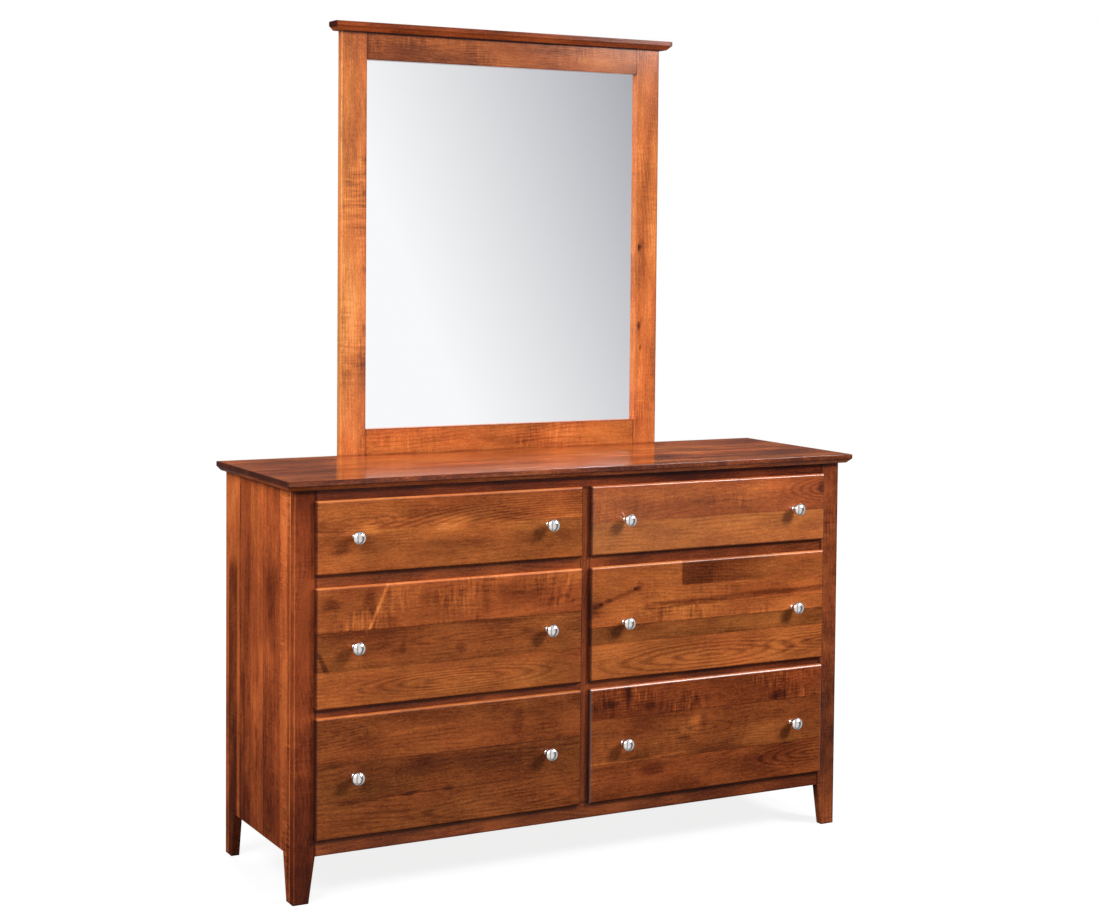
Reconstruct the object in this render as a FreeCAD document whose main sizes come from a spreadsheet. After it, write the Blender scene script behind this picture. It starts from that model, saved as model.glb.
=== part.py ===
import FreeCAD, Part
import os
import re
import Sketcher

# Six-drawer dresser with a fixed mirror, standing on the floor at the origin.
# X runs along the front, Y from front to back, Z upwards, all in millimetres.

SIZES = {
    # Solid sides that run down into legs, with a face frame glued to their front edges
    "case_width": 1474,
    "case_depth": 454,
    "side_thickness": 20,
    "side_leg_height": 108,
    "leg_depth": 62,
    "leg_foot_depth": 41,
    "frame_thickness": 20,
    "outer_stile_width": 52,
    "stile_foot_width": 37,
    "centre_stile_width": 29,
    "leg_height": 105,
    "bottom_rail_height": 38,
    "lower_opening_height": 271,
    "lower_rail_height": 24,
    "middle_opening_height": 268,
    "upper_rail_height": 34,
    "upper_opening_height": 161,
    "top_rail_height": 29,
    # Plywood back in rebates, stiffened by two rails
    "back_thickness": 6,
    "back_rebate": 10,
    "back_rail_thickness": 20,
    "back_top_rail_height": 110,
    "back_bottom_rail_height": 60,
    # Boards with a bevel under the front and end edges: the top and the mirror's cap
    "top_thickness": 22,
    "top_overhang": 25,
    "cap_thickness": 22,
    "cap_overhang": 25,
    "edge_bevel": 11,
    "arris_round": 2,
    # Overlay drawer fronts with a rounded edge, rebated to enter their openings
    "front_thickness": 20,
    "front_proud": 11,
    "front_overlay": 3,
    "front_round": 5,
    "opening_clearance": 2,
    # Dovetailed drawer boxes with a bottom in grooves
    "box_wall": 12.5,
    "box_back_space": 19,
    "box_lift": 14,
    "box_headroom": 16,
    "box_bottom_thickness": 6,
    "groove_depth": 6,
    "groove_rise": 12,
    "pin_tip_width": 6,
    "pin_root_width": 10,
    "glue_gap": 0.1,
    "upper_tail_count": 3,
    "middle_tail_count": 5,
    "lower_tail_count": 5,
    # Telescopic slides: three nested steel channels on each side of a drawer
    "slide_space": 13,
    "slide_shortfall": 20,
    "slide_height": 45,
    "slide_rise": 45,
    "slide_setback": 2,
    "slide_steel": 1.5,
    "slide_gap": 0.3,
    "slide_web_gap": 1,
    "slide_lip_gap": 0.5,
    "slide_case_setback": 4,
    "batten_height": 60,
    # Turned metal knobs
    "knob_inset": 93,
    "knob_neck_radius": 5.5,
    "knob_neck_length": 10,
    "knob_flare_length": 14,
    "knob_radius": 15,
    "knob_rim_thickness": 5,
    "knob_crown_rise": 5,
    # Mirror frame that stands on the top, flush with the back
    "mirror_width": 904,
    "mirror_height": 1043,
    "mirror_thickness": 21,
    "mirror_stile_width": 67,
    "mirror_top_rail_height": 67,
    "mirror_bottom_rail_height": 65,
    "mirror_round": 3,
    "mirror_rebate": 8,
    "glass_thickness": 4,
    "glass_clearance": 1,
    "backing_thickness": 4,
    # Two hardwood supports behind the mirror's stiles
    "support_width": 45,
    "support_thickness": 19,
    "support_rise": 640,
    # Tools run this far past what they cut
    "overrun": 5,
}

# Places that follow from the sizes above
LAYOUT = {
    "knob_head": "knob_neck_length + knob_flare_length",
    "knob_reach": "knob_head + knob_rim_thickness + knob_crown_rise",
    "front_plane": "(front_proud + knob_reach - case_depth - support_thickness) / 2",
    "back_plane": "front_plane + case_depth",
    "frame_back": "front_plane + frame_thickness",
    "rail_plane": "back_plane - back_thickness",
    "half_case": "case_width / 2",
    "case_inside": "half_case - side_thickness",
    "opening_outer": "half_case - outer_stile_width",
    "opening_inner": "centre_stile_width / 2",
    "opening_width": "opening_outer - opening_inner",
    "opening_half": "opening_width / 2",
    "column_centre": "(opening_outer + opening_inner) / 2",
    "lower_sill": "leg_height + bottom_rail_height",
    "lower_lintel": "lower_sill + lower_opening_height",
    "middle_sill": "lower_lintel + lower_rail_height",
    "middle_lintel": "middle_sill + middle_opening_height",
    "upper_sill": "middle_lintel + upper_rail_height",
    "upper_lintel": "upper_sill + upper_opening_height",
    "case_top": "upper_lintel + top_rail_height",
    "top_face": "case_top + top_thickness",
    "inside_depth": "case_depth - frame_thickness - back_thickness - back_rail_thickness",
    "box_half": "opening_half - slide_space",
    "box_inside_half": "box_half - box_wall",
    "box_front": "front_plane + front_thickness - front_proud",
    "box_depth": "rail_plane - back_rail_thickness - box_back_space - box_front",
    "slide_length": "box_depth - slide_shortfall",
    "slide_front": "frame_back + slide_setback",
    "slide_middle_height": "slide_height - 2 * (slide_steel + slide_gap)",
    "slide_drawer_height": "slide_middle_height - 2 * (slide_steel + slide_gap)",
    "slide_middle_web": "slide_steel + slide_web_gap",
    "slide_case_reach": "slide_space - slide_case_setback",
    "slide_middle_reach": "slide_space - slide_middle_web - slide_steel - slide_lip_gap",
    "slide_drawer_reach": "slide_space - 2 * slide_middle_web",
    "mirror_half": "mirror_width / 2",
    "mirror_inside": "mirror_half - mirror_stile_width",
    "mirror_front": "back_plane - mirror_thickness",
    "mirror_top": "top_face + mirror_height",
    "glass_low": "top_face + mirror_bottom_rail_height - mirror_rebate + glass_clearance",
    "glass_high": "mirror_top - mirror_top_rail_height + mirror_rebate - glass_clearance",
    "glass_half": "mirror_inside + mirror_rebate - glass_clearance",
    "rebate_depth": "glass_thickness + backing_thickness + glass_clearance",
    "support_centre": "mirror_half - mirror_stile_width / 2",
    "support_low": "case_top - back_top_rail_height",
    "support_high": "top_face + support_rise",
}

# Two points closer than this are taken as one
CLOSE = 0.01

doc = FreeCAD.newDocument("Dresser")
sheet = doc.addObject("Spreadsheet::Sheet", "Sizes")
for row, (alias, value) in enumerate(SIZES.items(), start=1):
    sheet.set(f"A{row}", alias)
    sheet.set(f"B{row}", str(value))
    sheet.setAlias(f"B{row}", alias)
doc.recompute()

pieces = []


def formula(text):
    """Spell a formula out in cells of the sheet, places first."""
    def spell(found):
        word = found.group(0)
        if word in LAYOUT:
            return f"({formula(LAYOUT[word])})"
        return f"Sizes.{word}"
    return re.sub(r"[a-z][a-z_]*", spell, text)


def measure(text):
    """What a formula comes to now, in millimetres."""
    return float(sheet.evalExpression(formula(text)))


def spot(x, y):
    """A point of a sketch from two formulas."""
    return FreeCAD.Vector(measure(x), measure(y), 0)


def bind(item, **formulas):
    """Tie an object's properties to the sheet."""
    for name, text in formulas.items():
        item.setExpression(name, formula(text))


def place(item, x, y, z):
    """Tie where an object stands to the sheet."""
    for axis, text in zip("xyz", (x, y, z)):
        if text != "0":
            item.setExpression(f"Placement.Base.{axis}", formula(text))


def finished(item, label):
    """Name a piece and keep it for the hand-over."""
    item.Label = label
    pieces.append(item)
    return item


def board(corner, size):
    """A plain sawn board from its lowest corner and its three lengths."""
    item = doc.addObject("Part::Box", "Board")
    bind(item, Length=size[0], Width=size[1], Height=size[2])
    place(item, *corner)
    return item


def shaped(x, y, z):
    """An empty body for a piece that takes more than one cut."""
    item = doc.addObject("PartDesign::Body", "Body")
    place(item, x, y, z)
    return item


def sketch_on(body, plane, lift="0"):
    """A new sketch on one of the body's own planes, lifted along its normal."""
    sketch = body.newObject("Sketcher::SketchObject", "Sketch")
    support = [item for item in body.Origin.OriginFeatures if item.Role == plane]
    sketch.AttachmentSupport = [(support[0], "")]
    sketch.MapMode = "FlatFace"
    if lift != "0":
        sketch.setExpression("AttachmentOffset.Base.z", formula(lift))
    return sketch


def pin_down(sketch, item, end, x, y):
    """Tie a point of a sketch to two formulas; a zero puts it on the axis."""
    for kind, text, axis in (("DistanceX", x, -2), ("DistanceY", y, -1)):
        if text == "0":
            sketch.addConstraint(Sketcher.Constraint("PointOnObject", item, end, axis))
        else:
            number = sketch.addConstraint(Sketcher.Constraint(kind, -1, 1, item, end, measure(text)))
            sketch.setExpression(f"Constraints[{number}]", formula(text))


def add_loop(sketch, corners):
    """Draw a closed loop of straight lines through corners given as formulas."""
    first = sketch.GeometryCount
    spots = [spot(x, y) for x, y in corners]
    for i, start in enumerate(spots):
        sketch.addGeometry(Part.LineSegment(start, spots[(i + 1) % len(spots)]))
    for i in range(len(corners)):
        following = first + (i + 1) % len(corners)
        sketch.addConstraint(Sketcher.Constraint("Coincident", first + i, 2, following, 1))
    for i, (x, y) in enumerate(corners):
        pin_down(sketch, first + i, 1, x, y)


def rectangle(left, low, right, high):
    """The four corners of an upright rectangle."""
    return [(left, low), (right, low), (right, high), (left, high)]


def outline(body, plane, *loops, lift="0"):
    """A sketch of one or more closed loops."""
    sketch = sketch_on(body, plane, lift)
    for corners in loops:
        add_loop(sketch, corners)
    return sketch


def pad(body, sketch, length, back=False):
    """Give an outline its thickness, along the plane's normal or against it."""
    item = body.newObject("PartDesign::Pad", "Pad")
    item.Profile = sketch
    item.Reversed = back
    bind(item, Length=length)
    doc.recompute()
    return item


def pocket(body, sketch, depth, ahead=False):
    """Sink an outline into the piece, against the plane's normal or along it."""
    before = body.Shape.Volume
    item = body.newObject("PartDesign::Pocket", "Pocket")
    item.Profile = sketch
    item.Reversed = ahead
    bind(item, Length=depth)
    doc.recompute()
    if not body.Shape.Volume < before:
        raise RuntimeError(f"a cut in {body.Name} removes nothing")
    return item


def repeat(body, feature, sketch, length, count):
    """Repeat a cut up the piece."""
    item = body.newObject("PartDesign::LinearPattern", "Pattern")
    item.Originals = [feature]
    item.Direction = (sketch, ["V_Axis"])
    bind(item, Length=length, Occurrences=count)
    body.Tip = item
    doc.recompute()
    return item


def edges_at(shape, wanted):
    """Names of the straight edges whose box, within the piece's box, passes a test."""
    whole = shape.BoundBox
    return [f"Edge{i}" for i, edge in enumerate(shape.Edges, start=1) if wanted(edge.BoundBox, whole)]


def same(a, b):
    return abs(a - b) < CLOSE


def dress(body, kind, size, wanted):
    """Round or bevel the edges of a body's last feature that pass a test."""
    doc.recompute()
    last = body.Tip
    item = body.newObject(f"PartDesign::{kind}", kind)
    item.Base = (last, edges_at(last.Shape, wanted))
    bind(item, **{"Radius" if kind == "Fillet" else "Size": size})
    doc.recompute()
    return item


def mirrored(source, across="X", middle="0"):
    """The same piece for the other hand."""
    item = doc.addObject("Part::Mirroring", "Mirrored")
    item.Source = source
    item.Normal = FreeCAD.Vector(across == "X", across == "Y", 0)
    if middle != "0":
        item.setExpression(f"Base.{across.lower()}", formula(middle))
    return item


def together(members):
    """Like pieces that share a name, each its own solid."""
    item = doc.addObject("Part::Compound", "Group")
    item.Links = members
    return item


def turned(body, plane_sketch):
    """Turn a profile about the upright axis of its sketch."""
    item = body.newObject("PartDesign::Revolution", "Revolution")
    item.Profile = plane_sketch
    item.ReferenceAxis = (plane_sketch, ["V_Axis"])
    doc.recompute()
    return item


# Sides: glued-up boards whose lower edge is cut away between two tapered legs
left_side = shaped("-case_inside", "front_plane", "0")
side_outline = outline(left_side, "YZ_Plane", [
    ("frame_thickness", "0"),
    ("leg_foot_depth", "0"),
    ("leg_depth", "side_leg_height"),
    ("case_depth - leg_depth", "side_leg_height"),
    ("case_depth - leg_foot_depth", "0"),
    ("case_depth", "0"),
    ("case_depth", "case_top"),
    ("frame_thickness", "case_top"),
])
pad(left_side, side_outline, "side_thickness", back=True)
back_rebate = outline(left_side, "YZ_Plane", rectangle(
    "case_depth - back_thickness", "leg_height", "case_depth + overrun", "case_top + overrun"))
pocket(left_side, back_rebate, "back_rebate")
finished(left_side, "left_side_panel")
finished(mirrored(left_side), "right_side_panel")

# Outer stiles of the face frame, tapered on the inner edge below the bottom rail
left_stile = shaped("-half_case", "front_plane", "0")
stile_outline = outline(left_stile, "XZ_Plane", [
    ("0", "0"),
    ("stile_foot_width", "0"),
    ("outer_stile_width", "leg_height"),
    ("outer_stile_width", "case_top"),
    ("0", "case_top"),
])
pad(left_stile, stile_outline, "frame_thickness", back=True)
dress(left_stile, "Fillet", "arris_round", lambda edge, whole: same(edge.XMax, whole.XMin) and same(
    edge.YMax, whole.YMin))
finished(left_stile, "left_front_stile")
finished(mirrored(left_stile), "right_front_stile")

# Rails and centre stile of the face frame
finished(board(("-opening_outer", "front_plane", "upper_lintel"),
               ("2 * opening_outer", "frame_thickness", "top_rail_height")), "top_rail")
finished(board(("-opening_outer", "front_plane", "leg_height"),
               ("2 * opening_outer", "frame_thickness", "bottom_rail_height")), "bottom_rail")
finished(board(("-opening_inner", "front_plane", "lower_sill"),
               ("centre_stile_width", "frame_thickness", "upper_lintel - lower_sill")), "centre_stile")
for rail, height in (("upper", "middle_lintel"), ("lower", "lower_lintel")):
    size = ("opening_width", "frame_thickness", f"{rail}_rail_height")
    left_rail = board(("-opening_outer", "front_plane", height), size)
    finished(together([left_rail, mirrored(left_rail)]), f"{rail}_drawer_rails")

# Partition behind the centre stile, which carries the inner slides
finished(board(("-opening_inner", "frame_back", "leg_height"),
               ("centre_stile_width", "inside_depth", "case_top - leg_height")), "centre_partition")

# Back: a panel in the sides' rebates over two rails between the sides
finished(board(("-case_inside - back_rebate", "rail_plane", "leg_height"),
               ("2 * (case_inside + back_rebate)", "back_thickness", "case_top - leg_height")), "back_panel")
back_top_rail = board(("-case_inside", "rail_plane - back_rail_thickness", "support_low"),
                      ("2 * case_inside", "back_rail_thickness", "back_top_rail_height"))
back_bottom_rail = board(("-case_inside", "rail_plane - back_rail_thickness", "leg_height"),
                         ("2 * case_inside", "back_rail_thickness", "back_bottom_rail_height"))
finished(together([back_top_rail, back_bottom_rail]), "back_rails")


def bevelled_board(half_width, front, back, low, thickness):
    """A board with its front and end edges bevelled below and eased above."""
    item = shaped("0", "0", low)
    pad(item, outline(item, "XY_Plane", rectangle(f"-({half_width})", front, half_width, back)), thickness)

    def showing(edge, whole):
        return not same(edge.YMin, whole.YMax)

    dress(item, "Chamfer", "edge_bevel",
          lambda edge, whole: same(edge.ZMax, whole.ZMin) and showing(edge, whole))
    dress(item, "Fillet", "arris_round",
          lambda edge, whole: same(edge.ZMin, whole.ZMax) and showing(edge, whole))
    return item


finished(bevelled_board("half_case + top_overhang", "front_plane - top_overhang", "back_plane",
                        "case_top", "top_thickness"), "top_board")

# Mirror frame: stiles over the full height, rails between them, rebated behind for the glass
left_mirror_stile = shaped("-mirror_half", "back_plane", "top_face")
pad(left_mirror_stile, outline(left_mirror_stile, "XZ_Plane", rectangle(
    "0", "0", "mirror_stile_width", "mirror_height")), "mirror_thickness")
stile_rebate = outline(left_mirror_stile, "XZ_Plane", rectangle(
    "mirror_stile_width - mirror_rebate", "mirror_bottom_rail_height - mirror_rebate",
    "mirror_stile_width + overrun", "mirror_height - mirror_top_rail_height + mirror_rebate"))
pocket(left_mirror_stile, stile_rebate, "rebate_depth", ahead=True)
dress(left_mirror_stile, "Fillet", "mirror_round", lambda edge, whole: same(edge.XMax, whole.XMin) and same(
    edge.YMax, whole.YMin))
finished(left_mirror_stile, "mirror_left_stile")
finished(mirrored(left_mirror_stile), "mirror_right_stile")


def mirror_rail(low, height, rebate_low):
    """A rail of the mirror frame with its rebate along the edge at the glass."""
    item = shaped("0", "back_plane", low)
    pad(item, outline(item, "XZ_Plane", rectangle("-mirror_inside", "0", "mirror_inside", height)),
        "mirror_thickness")
    pocket(item, outline(item, "XZ_Plane", rectangle(
        "-mirror_inside - overrun", rebate_low, "mirror_inside + overrun", f"{rebate_low} + mirror_rebate")),
        "rebate_depth", ahead=True)
    return item


finished(mirror_rail("mirror_top - mirror_top_rail_height", "mirror_top_rail_height", "0"),
         "mirror_top_rail")
finished(mirror_rail("top_face", "mirror_bottom_rail_height",
                     "mirror_bottom_rail_height - mirror_rebate"), "mirror_bottom_rail")
finished(bevelled_board("mirror_half + cap_overhang", "mirror_front - cap_overhang", "back_plane",
                        "mirror_top", "cap_thickness"), "mirror_cap")

# Glass against the rebate, and the board behind it
glass_size = ("2 * glass_half", "glass_thickness", "glass_high - glass_low")
glass_front = "back_plane - rebate_depth"
finished(board(("-glass_half", glass_front, "glass_low"), glass_size), "mirror_glass")
backing_size = ("2 * glass_half", "backing_thickness", "glass_high - glass_low")
finished(board(("-glass_half", f"{glass_front} + glass_thickness", "glass_low"), backing_size),
         "mirror_backing")

# Supports that hold the mirror to the back of the case
left_support = board(("-support_centre - support_width / 2", "back_plane", "support_low"),
                     ("support_width", "support_thickness", "support_high - support_low"))
finished(together([left_support, mirrored(left_support)]), "mirror_supports")


def drawer_front(x, sill, opening):
    """A front that laps over its opening, with a rounded edge and a rebate all round."""
    item = shaped(x, "front_plane", sill)
    lap = outline(item, "XZ_Plane", rectangle(
        "-opening_half - front_overlay", "-front_overlay",
        "opening_half + front_overlay", f"{opening} + front_overlay"))
    pad(item, lap, "front_proud")
    inset = outline(item, "XZ_Plane", rectangle(
        "-opening_half + opening_clearance", "opening_clearance",
        "opening_half - opening_clearance", f"{opening} - opening_clearance"))
    pad(item, inset, "front_thickness - front_proud", back=True)
    dress(item, "Fillet", "front_round", lambda edge, whole: same(edge.YMax, whole.YMin))
    return item


def box_side(x, low, height, tails):
    """The left side of a drawer box: tails at both ends, a groove for the bottom."""
    item = shaped(f"{x} - box_inside_half", "box_front", low)
    pad(item, outline(item, "YZ_Plane", rectangle("0", "0", "box_depth", height)), "box_wall", back=True)
    tip, root = "(pin_tip_width / 2 + glue_gap)", "(pin_root_width / 2 + glue_gap)"
    deep = "box_wall + glue_gap"
    sockets = outline(item, "YZ_Plane", [
        ("0", f"-{tip}"),
        (deep, f"-{root}"),
        (deep, root),
        ("0", tip),
    ], [
        ("box_depth", f"-{tip}"),
        ("box_depth", tip),
        (f"box_depth - ({deep})", root),
        (f"box_depth - ({deep})", f"-{root}"),
    ])
    cut = pocket(item, sockets, "box_wall")
    repeat(item, cut, sockets, height, f"{tails} + 1")
    groove = outline(item, "YZ_Plane", rectangle(
        "box_wall - groove_depth", "groove_rise",
        "box_depth - box_wall + groove_depth", "groove_rise + box_bottom_thickness"))
    pocket(item, groove, "groove_depth")
    return item


def box_end(x, low, height, tails):
    """The front end of a drawer box: pins at both ends, a groove for the bottom."""
    item = shaped(x, "box_front + box_wall", low)
    pad(item, outline(item, "XZ_Plane", rectangle("-box_half", "0", "box_half", height)), "box_wall")
    pitch = f"({height}) / {tails}"
    tail = [
        ("-box_wall", "pin_tip_width / 2"),
        ("0", "pin_root_width / 2"),
        ("0", f"{pitch} - pin_root_width / 2"),
        ("-box_wall", f"{pitch} - pin_tip_width / 2"),
    ]
    shoulder = "(box_inside_half - glue_gap)"
    for lift, ahead in ((f"-{shoulder}", False), (shoulder, True)):
        socket = outline(item, "YZ_Plane", tail, lift=lift)
        cut = pocket(item, socket, "box_wall + glue_gap", ahead)
        repeat(item, cut, socket, f"{height} - {pitch}", tails)
    groove = outline(item, "XZ_Plane", rectangle(
        "-box_inside_half - groove_depth", "groove_rise",
        "box_inside_half + groove_depth", "groove_rise + box_bottom_thickness"))
    pocket(item, groove, "groove_depth", ahead=True)
    return item


def knob(x, z):
    """A turned knob: a straight neck, a flare to a thick rim and a shallow crown."""
    item = shaped(x, "front_plane - front_proud", z)
    item.Placement.Rotation = FreeCAD.Rotation(FreeCAD.Vector(1, 0, 0), 90)
    profile = outline(item, "XZ_Plane", [
        ("0", "0"),
        ("knob_neck_radius", "0"),
        ("knob_neck_radius", "knob_neck_length"),
        ("knob_radius", "knob_head"),
        ("knob_radius", "knob_head + knob_rim_thickness"),
        ("0", "knob_reach"),
    ])
    turned(item, profile)
    return item


def channel(x, z, height, reach, hand):
    """A steel channel of a slide: its web at x, its lips reaching to the right (1) or left (-1)."""
    item = shaped(x, "slide_front", z)
    lip = f"{hand} * {reach}"
    web = f"{hand} * slide_steel"
    low, high = f"-({height}) / 2", f"({height}) / 2"
    pad(item, outline(item, "XZ_Plane", [
        ("0", low),
        (lip, low),
        (lip, f"{low} + slide_steel"),
        (web, f"{low} + slide_steel"),
        (web, f"{high} - slide_steel"),
        (lip, f"{high} - slide_steel"),
        (lip, high),
        ("0", high),
    ]), "slide_length", back=True)
    return item


def pair(left, middle):
    """A left-hand piece of a drawer and its right-hand partner."""
    return together([left, mirrored(left, "X", middle)])


# Drawers, each with its front, knobs, box and slides
battens = []
case_slides = []
for column, centre in (("left", "-column_centre"), ("right", "column_centre")):
    for row in ("upper", "middle", "lower"):
        drawer = f"{row}_{column}"
        sill = f"{row}_sill"
        opening = f"{row}_opening_height"
        tails = f"{row}_tail_count"
        box_low = f"{sill} + box_lift"
        box_height = f"({opening} - box_lift - box_headroom)"
        finished(drawer_front(centre, sill, opening), f"{drawer}_drawer_front")

        left_knob = knob(f"{centre} - opening_half - front_overlay + knob_inset", f"{sill} + {opening} / 2")
        finished(pair(left_knob, centre), f"{drawer}_knobs")

        side = box_side(centre, box_low, box_height, tails)
        end = box_end(centre, box_low, box_height, tails)
        far_end = mirrored(end, "Y", "box_front + box_depth / 2")
        finished(together([side, mirrored(side, "X", centre), end, far_end]), f"{drawer}_drawer_box")
        finished(board(
            (f"{centre} - box_inside_half - groove_depth", "box_front + box_wall - groove_depth",
             f"{box_low} + groove_rise"),
            ("2 * (box_inside_half + groove_depth)", "box_depth - 2 * (box_wall - groove_depth)",
             "box_bottom_thickness")), f"{drawer}_drawer_bottom")

        level = f"{box_low} + slide_rise"
        wall = f"{centre} - opening_half"
        case_member = channel(wall, level, "slide_height", "slide_case_reach", 1)
        case_slides.append(pair(case_member, centre))
        middle_member = channel(f"{wall} + slide_middle_web", level,
                                "slide_middle_height", "slide_middle_reach", 1)
        finished(pair(middle_member, centre), f"{drawer}_middle_slides")
        drawer_member = channel(f"{wall} + slide_space", level,
                                "slide_drawer_height", "slide_drawer_reach", -1)
        finished(pair(drawer_member, centre), f"{drawer}_drawer_slides")

        inner_face = "-case_inside" if column == "left" else "opening_outer"
        battens.append(board((inner_face, "frame_back", f"{level} - batten_height / 2"),
                             ("case_inside - opening_outer", "inside_depth", "batten_height")))

finished(together(battens), "slide_battens")
finished(together(case_slides), "case_slides")

# Every piece is sound before any is written
doc.recompute()
for item in doc.Objects:
    if "Invalid" in item.State or "Error" in item.State:
        raise RuntimeError(f"{item.Name} ({item.Label}) failed: {item.State}")
for item in pieces:
    if item.Shape.isNull() or not item.Shape.isValid() or not item.Shape.Solids:
        raise RuntimeError(f"{item.Label} has no sound solid")

os.makedirs("parts", exist_ok=True)
for item in pieces:
    item.Shape.exportStep(f"parts/{item.Label}.step")
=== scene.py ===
import math

import bmesh
import bpy
from mathutils import Matrix, Vector


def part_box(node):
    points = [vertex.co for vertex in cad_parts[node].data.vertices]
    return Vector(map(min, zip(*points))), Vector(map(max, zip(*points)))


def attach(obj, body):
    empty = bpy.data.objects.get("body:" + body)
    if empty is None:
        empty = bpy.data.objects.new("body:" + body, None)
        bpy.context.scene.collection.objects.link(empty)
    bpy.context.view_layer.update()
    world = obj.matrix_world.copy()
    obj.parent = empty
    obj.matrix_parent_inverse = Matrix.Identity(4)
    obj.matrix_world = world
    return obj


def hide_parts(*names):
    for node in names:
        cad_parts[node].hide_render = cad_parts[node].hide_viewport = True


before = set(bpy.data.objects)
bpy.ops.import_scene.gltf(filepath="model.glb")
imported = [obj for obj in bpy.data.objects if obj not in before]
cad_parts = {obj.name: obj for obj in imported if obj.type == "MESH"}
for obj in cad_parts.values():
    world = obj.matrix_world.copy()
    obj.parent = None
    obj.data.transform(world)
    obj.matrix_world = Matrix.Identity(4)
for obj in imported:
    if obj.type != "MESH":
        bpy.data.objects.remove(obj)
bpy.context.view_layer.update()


# Side panels: brown maple boards glued edge to edge, upright, sawn out below into two tapered legs.
# They are wiped with a reddish-brown stain that takes unevenly, then sprayed with clear lacquer.
class Value:
    """A number that varies over a surface and can be reckoned with."""

    def __init__(self, wiring, socket):
        self.wiring = wiring
        self.socket = socket

    def math(self, operation, *others):
        return self.wiring.math(operation, self, *others)

    def __add__(self, other):
        return self.math("ADD", other)

    def __sub__(self, other):
        return self.math("SUBTRACT", other)

    def __mul__(self, other):
        return self.math("MULTIPLY", other)

    def __truediv__(self, other):
        return self.math("DIVIDE", other)

    def __pow__(self, other):
        return self.math("POWER", other)

    def __rsub__(self, other):
        return self.wiring.math("SUBTRACT", other, self)

    __radd__ = __add__
    __rmul__ = __mul__

    def rise(self, low, high):
        """0 below low, 1 above high, with a soft step between."""
        return self.wiring.node("ShaderNodeMapRange", {"interpolation_type": "SMOOTHSTEP"}, {
            "Value": self, "From Min": low, "From Max": high})

    def fall(self, low, high):
        """1 below low, 0 above high, with a soft step between."""
        return 1 - self.rise(low, high)

    def within(self, low, high):
        """The number, kept from going below low or above high."""
        return self.math("MAXIMUM", low).math("MINIMUM", high)


class Wiring:
    """Nodes that are being wired up, for a finish, for the room or for setting out small parts."""

    def __init__(self, tree):
        self.tree = tree
        tree.nodes.clear()

    def node(self, kind, settings=None, sockets=None, output=0):
        """Any node: its settings are set first, then the values or links of its sockets."""
        made = self.tree.nodes.new(kind)
        for name, setting in (settings or {}).items():
            if name == "stops":
                ramp = made.color_ramp.elements
                while len(ramp) < len(setting):
                    ramp.new(1)
                for stop, (place, colour) in zip(ramp, setting):
                    stop.position = place
                    stop.color = colour
            elif name == "steps":
                made.color_ramp.interpolation = setting
            else:
                setattr(made, name, setting)
        for name, values in (sockets or {}).items():
            for value in values if isinstance(values, list) else [values]:
                if isinstance(value, Value):
                    self.tree.links.new(value.socket, made.inputs[name])
                else:
                    made.inputs[name].default_value = value
        return Value(self, made.outputs[output]) if made.outputs else None

    def math(self, operation, *values):
        return self.node("ShaderNodeMath", {"operation": operation}, dict(enumerate(values)))

    def together(self, *parts):
        """A vector from its numbers; parts left out are zero."""
        return self.node("ShaderNodeCombineXYZ", {}, dict(enumerate(parts)))

    def apart(self, vector):
        """The three numbers of a vector or a colour."""
        return [self.node("ShaderNodeSeparateXYZ", {}, {0: vector}, i) for i in range(3)]

    def spot(self, kind="Object"):
        """The place on the piece."""
        return self.node("ShaderNodeTexCoord", output=kind)

    def noise(self, vector, scale, detail):
        """Smooth chance variation about a half."""
        return self.node("ShaderNodeTexNoise", {}, {"Vector": vector, "Scale": scale, "Detail": detail})

    def mixed(self, share, first, second, blend="MIX"):
        """Two colours, blended by a share."""
        return self.node("ShaderNodeMix", {"data_type": "RGBA", "blend_type": blend},
                         {0: share, 6: first, 7: second}, 2)

    def ray(self, kind):
        """1 for the rays of one kind, 0 for all others."""
        return self.node("ShaderNodeLightPath", output=f"Is {kind} Ray")

    def surface(self, sockets):
        """End a finish in a surface with the given sockets."""
        shader = self.node("ShaderNodeBsdfPrincipled", {}, sockets)
        self.node("ShaderNodeOutputMaterial", {}, {"Surface": shader})


def finish(name):
    """A new material and its wiring."""
    material = bpy.data.materials.new(name)
    material.use_nodes = True
    return material, Wiring(material.node_tree)


def dress(material, *names):
    """Give nodes of the frame their finish."""
    for name in names:
        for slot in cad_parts[name].material_slots:
            slot.material = material


def stain(red, green, blue):
    """A colour as the eye reads it, 0 to 255, turned into light."""
    def light(part):
        part /= 255
        return part / 12.92 if part <= 0.04045 else ((part + 0.055) / 1.055) ** 2.4
    return (light(red), light(green), light(blue), 1)


def distance(way, gap):
    """How far a place is from another, from the two parts of the way to it."""
    return (way * way + gap * gap).math("SQRT")


# From where the stain lies thick to where it is rubbed thin, and its two casts; the same tones also colour the
# painted shade and painted highlights
WOOD_TONES = [(0.0, stain(60, 24, 13)), (0.25, stain(106, 50, 23)), (0.5, stain(152, 80, 39)),
               (0.75, stain(194, 108, 53)), (1.0, stain(224, 140, 78))]
BROWN_CAST = (0.92, 1.06, 0.98, 1)
RED_CAST = (1.1, 0.88, 0.92, 1)

# How far, in metres, a change at a line or an edge is whole, and where it has faded out
GLUE_LINE = (0.0004, 0.0022)
# The end range is where stain and painted shade darken the ends; the edge range is where painted highlights and
# painted shade lie along the edges.
END_STAIN_AND_SHADE = (0.0015, 0.005)
EDGE_HIGHLIGHT_AND_SHADE = (0.001, 0.005)
THICK_LACQUER = (0.0035, 0.006)


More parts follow.
